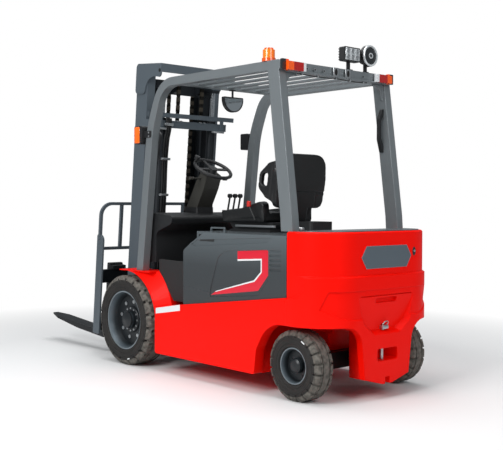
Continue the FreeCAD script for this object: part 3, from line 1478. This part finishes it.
def inner_mast():
    piece = Piece("inner_mast")
    front = size.rail_front + size.inner_rail_step
    rear = front - size.rail_depth
    for label, sign in SIDES:
        outer = size.inner_rail_y
        web = outer - size.rail_web
        lip = outer - size.inner_rail_lip
        piece.pad("plan", Outline((
            (rear, outer * sign), (front, outer * sign), (front, lip * sign),
            (front - size.rail_flange, lip * sign), (front - size.rail_flange, web * sign),
            (rear + size.rail_flange, web * sign), (rear + size.rail_flange, lip * sign),
            (rear, lip * sign),
        )), size.inner_rail_low, size.inner_rail_high)
        # roller on a stub shaft, running in the outer rail
        middle = size.rail_front - size.rail_depth / 2
        low, high = span(sign, outer - 2, size.outer_rail_y - size.rail_web - 8)
        piece.pad("side", Circle(middle, size.inner_rail_low + 90, 24), low, high)
        low, high = span(sign, size.outer_rail_y - size.outer_rail_lip + 4,
                         size.outer_rail_y - size.rail_web - 1)
        piece.pad("side", Circle(middle, size.inner_rail_low + 90, roller_radius), low, high)
        # crosshead lug over the lift rod
        low, high = span(sign, lip, size.lift_cylinder_y + 34)
        piece.pad("plan", rectangle(size.lift_cylinder_forward - 40, rear + 1, low, high), rod_top,
                  rod_top + 26)
        low, high = span(sign, size.chain_y - size.chain_width / 2, size.chain_y + size.chain_width / 2)
        piece.pad("side", Circle(size.chain_wheel_forward, chain_wheel_up, size.chain_wheel_radius),
                  low, high)
    half = size.inner_rail_y
    piece.pad("plan", rectangle(rear - size.inner_bar_thick, rear, -half, half), size.inner_rail_high - 110,
              size.inner_rail_high)
    piece.pad("plan", rectangle(rear - size.inner_bar_thick, rear, -half, half), size.inner_rail_low,
              size.inner_rail_low + 60)
    piece.lean()


def lift_chains():
    """Each chain drops in front of its wheel to the carriage and behind it to the outer mast's tie bar."""
    front_run = size.chain_wheel_forward + size.chain_wheel_radius + size.hub_gap
    rear_run = size.chain_wheel_forward - size.chain_wheel_radius - size.hub_gap
    pitch = size.chain_waist_pitch
    wide = size.chain_y + size.chain_width
    for name, low_u, up in (("lift_chains_front", front_run, size.carriage_high - 39.7),
                            ("lift_chains_rear", rear_run - size.chain_thick, chain_anchor_up + 0.3)):
        piece = Piece(name)
        for label, sign in SIDES:
            y = size.chain_y * sign
            piece.pad("plan", rectangle(low_u, low_u + size.chain_thick, y - size.chain_width / 2,
                                        y + size.chain_width / 2), up, chain_wheel_up)
        # waists between the link plates, on both edges
        count = int((chain_wheel_up.value - up.value) / pitch.value) - 1
        first = up + pitch
        waists = []
        for face, inside in ((low_u, 1), (low_u + size.chain_thick, -1)):
            waists.append(Outline((
                (face - inside, first - pitch * 0.22), (face + size.chain_waist * inside, first),
                (face - inside, first + pitch * 0.22),
            )))
        piece.pocket("side", waists, -wide, wide)
        piece.repeat_up(count, pitch * (count - 1))
        piece.lean()


def carriage():
    piece = Piece("carriage")
    front = size.carriage_front
    rear = front - size.carriage_bar_thick
    half = size.carriage_half_width
    for low in (size.carriage_low, size.carriage_high - size.carriage_bar_height):
        piece.pad("plan", rectangle(rear, front, -half, half, 8), low, low + size.carriage_bar_height)
    middle = size.rail_front + size.inner_rail_step - size.rail_depth / 2
    for label, sign in SIDES:
        low, high = span(sign, size.carriage_plate_y, size.carriage_plate_y + 20)
        piece.pad("side", Outline((
            (rear + 2, size.carriage_low, 0), (rear + 2, size.carriage_high, 0),
            (middle - 30, size.carriage_high, 30),
            (middle - 50, size.carriage_high - 120, 30), (middle - 50, size.carriage_low + 60, 30),
            (middle - 20, size.carriage_low, 30),
        )), low, high)
        anchor = size.chain_wheel_forward + size.chain_wheel_radius - 8
        low, high = span(sign, size.chain_y - 18, size.carriage_plate_y + 1)
        piece.pad("plan", rectangle(anchor, anchor + 34, low, high), size.carriage_high - 62,
                  size.carriage_high - 40)
        for up in (size.carriage_low + 70, size.carriage_high - 70):
            low, high = span(sign, size.carriage_plate_y + 19, size.inner_rail_y - size.rail_web - 8)
            piece.pad("side", Circle(middle, up, 24), low, high)
            low, high = span(sign, size.inner_rail_y - size.inner_rail_lip + 4,
                             size.inner_rail_y - size.rail_web - 1)
            piece.pad("side", Circle(middle, up, roller_radius), low, high)
    piece.lean()


def load_backrest():
    piece = Piece("load_backrest")
    front = size.carriage_front
    thick = size.backrest_plate_thick
    for label, sign in SIDES:
        plate = size.carriage_half_width + size.hub_gap
        low, high = span(sign, plate, plate + thick)
        piece.pad("side", Outline((
            (front - size.backrest_plate_depth, size.carriage_low - 20, 20),
            (front, size.carriage_low - 20, 10),
            (front, size.backrest_plate_high, 20),
            (front - size.backrest_plate_depth, size.backrest_plate_high, 50),
        )), low, high)
    radius = size.backrest_bar_radius
    x = front - 34
    y = size.backrest_plate_y
    outer = y + radius
    inner = y - radius
    piece.pad("front", Outline((
        (-outer, size.backrest_plate_high - 40), (-outer, size.backrest_top, 110),
        (outer, size.backrest_top, 110),
        (outer, size.backrest_plate_high - 40), (inner, size.backrest_plate_high - 40),
        (inner, size.backrest_top - 2 * radius, 88), (-inner, size.backrest_top - 2 * radius, 88),
        (-inner, size.backrest_plate_high - 40),
    )), x - radius, x + radius)
    low_bar = size.backrest_plate_high - 130
    piece.pad("front", rectangle(-inner, inner, low_bar, low_bar + 2 * radius), x - radius, x + radius)
    for share in (-0.62, -0.2, 0.2, 0.62):
        middle = y * share
        piece.pad("front", rectangle(middle - radius, middle + radius, low_bar + radius,
                                     size.backrest_top - radius), x - radius, x + radius)
    piece.lean()


def fork(label, sign):
    piece = Piece("fork_%s" % label)
    heel = size.carriage_front + size.hub_gap
    face = heel + size.fork_thick
    tip = face + size.fork_length
    top = size.fork_top
    low, high = span(sign, size.fork_centre - size.fork_width / 2, size.fork_centre + size.fork_width / 2)
    piece.pad("side", Outline((
        (heel, size.fork_shank_high, 12), (heel, top - size.fork_thick, 60),
        (tip - 500, top - size.fork_thick, 200),
        (tip, top - size.fork_tip_thick, 0), (tip, top, 4), (face, top, 20),
        (face, size.fork_shank_high, 12),
    )), low, high)
    hook = size.carriage_high + size.hub_gap
    piece.pad("side",
              rectangle(heel - size.carriage_bar_thick - 16, heel + 2, hook,
                        hook + size.fork_hook_height, 4), low, high)
    centre = size.fork_centre * sign
    for turn in (1, -1):
        edge = centre + turn * size.fork_width / 2
        piece.pocket("plan", Outline((
            (tip - 150, edge), (tip + 1, edge - turn * 40), (tip + 1, edge + turn * 2),
            (tip - 150, edge + turn * 2),
        )), top - 80, top + 5)
    piece.lean()


def tilt_cylinders():
    """Barrel and rod of each tilt cylinder, drawn along the line between its two pins."""
    pin_x = (mast_pin_x + size.tilt_pin_forward * cosine(size.mast_lean)
             - size.tilt_pin_up * sine(size.mast_lean))
    pin_z = (size.mast_pin_height + size.tilt_pin_forward * sine(size.mast_lean)
             + size.tilt_pin_up * cosine(size.mast_lean))
    base_x = back(size.tilt_base_back)
    run = pin_x.value - base_x.value
    rise = pin_z.value - tilt_base_height.value
    length = math.hypot(run, rise)
    slope = math.degrees(math.atan2(rise, run))
    gland = length - size.tilt_gland
    for label, sign in SIDES:
        centre = size.tilt_cylinder_y * sign
        barrel = Piece("tilt_barrel_%s" % label)
        barrel.pad("front", Circle(0, 0, size.tilt_barrel_radius), 34, gland)
        barrel.pad("front", Circle(0, 0, 19), 10, 40)
        low, high = span(sign, -20, 20)
        barrel.pad("side", Circle(0, 0, 30), low, high)
        barrel.pocket("side", Circle(0, 0, size.tilt_pin_radius + size.hub_gap), low, high)
        barrel.pocket("front", Circle(0, 0, size.tilt_rod_radius + size.rod_gap), 80, gland + 1)
        rod = Piece("tilt_rod_%s" % label)
        rod.pad("front", Circle(0, 0, size.tilt_rod_radius), 150, length - 24)
        rod.pad("side", Circle(length, 0, 32), low, high)
        rod.pocket("side", Circle(length, 0, size.tilt_pin_radius + size.tilt_eye_gap), low, high)
        for part in (barrel, rod):
            part.place(base_x, centre, tilt_base_height, (0, 1, 0), -slope)


# Places shared by several sub-parts
front_spindle = as_size(46)
pivot_plate_back = size.steer_beam_depth / 2 + 26
bracket_y = size.axle_cheek_y + size.frame_plate + 2
roller_radius = size.rail_depth / 2 - size.rail_flange - size.rod_gap
lowering_room = 60
rod_top = size.inner_rail_high - 70
chain_wheel_up = size.inner_rail_high - 45
chain_anchor_up = size.tie_bar_low + size.tie_bar_height
hinge_x = back(hood_rear_back - 6)
hinge_z = size.hood_top - size.hood_thick - size.hinge_pin_radius - 8
column_drop = steering_centre_height - cowl_top - size.column_collar
column_slope = sine(size.column_lean) / cosine(size.column_lean)
collar_x = back(size.steering_centre_back) + column_drop * column_slope

chassis_frame()
fenders()
counterweight()
rear_deck()
tow_pin()
battery()
floor()
front_cowl()
side_covers()
battery_hood()
seat()
steering()
hand_levers()
pedals()
guard()
lamps()
grab_handles()
drive_axle()
steer_axle()
# axle, its place, then wheel centre, tyre radius and width, rim and well radius, spindle, and the tread
WHEELS = (
    ("front", front_x, size.front_wheel_centre, size.front_tyre_radius, size.front_tyre_width,
     size.front_rim_radius, size.front_rim_well, front_spindle,
     FRONT_LUGS, size.front_lug_gap, size.front_lug_slant),
    ("rear", rear_x, size.rear_wheel_centre, size.rear_tyre_radius, size.rear_tyre_width,
     size.rear_rim_radius, size.rear_rim_well, size.spindle_radius,
     REAR_LUGS, size.rear_lug_gap, size.rear_lug_slant),
)
for side_label, side in SIDES:
    for axle_row in WHEELS:
        wheel(side_label, side, *axle_row)
    knuckle(side_label, side)
    fork(side_label, side)
outer_mast()
lift_barrels()
lift_rods()
inner_mast()
lift_chains()
carriage()
load_backrest()
tilt_cylinders()

doc.recompute()
bad = []
for thing in doc.Objects:
    if "Invalid" in thing.State or "Error" in thing.State:
        bad.append("%s %s" % (thing.Name, thing.State))
for name, thing in NODES.items():
    if thing.Shape.isNull() or not thing.Shape.isValid():
        bad.append("%s has no valid shape" % name)
if bad:
    raise RuntimeError("; ".join(bad))
os.makedirs("parts", exist_ok=True)
for name, thing in NODES.items():
    thing.Shape.exportStep("parts/%s.step" % name)
    print(name, len(thing.Shape.Solids), round(thing.Shape.Volume / 1e6, 2))
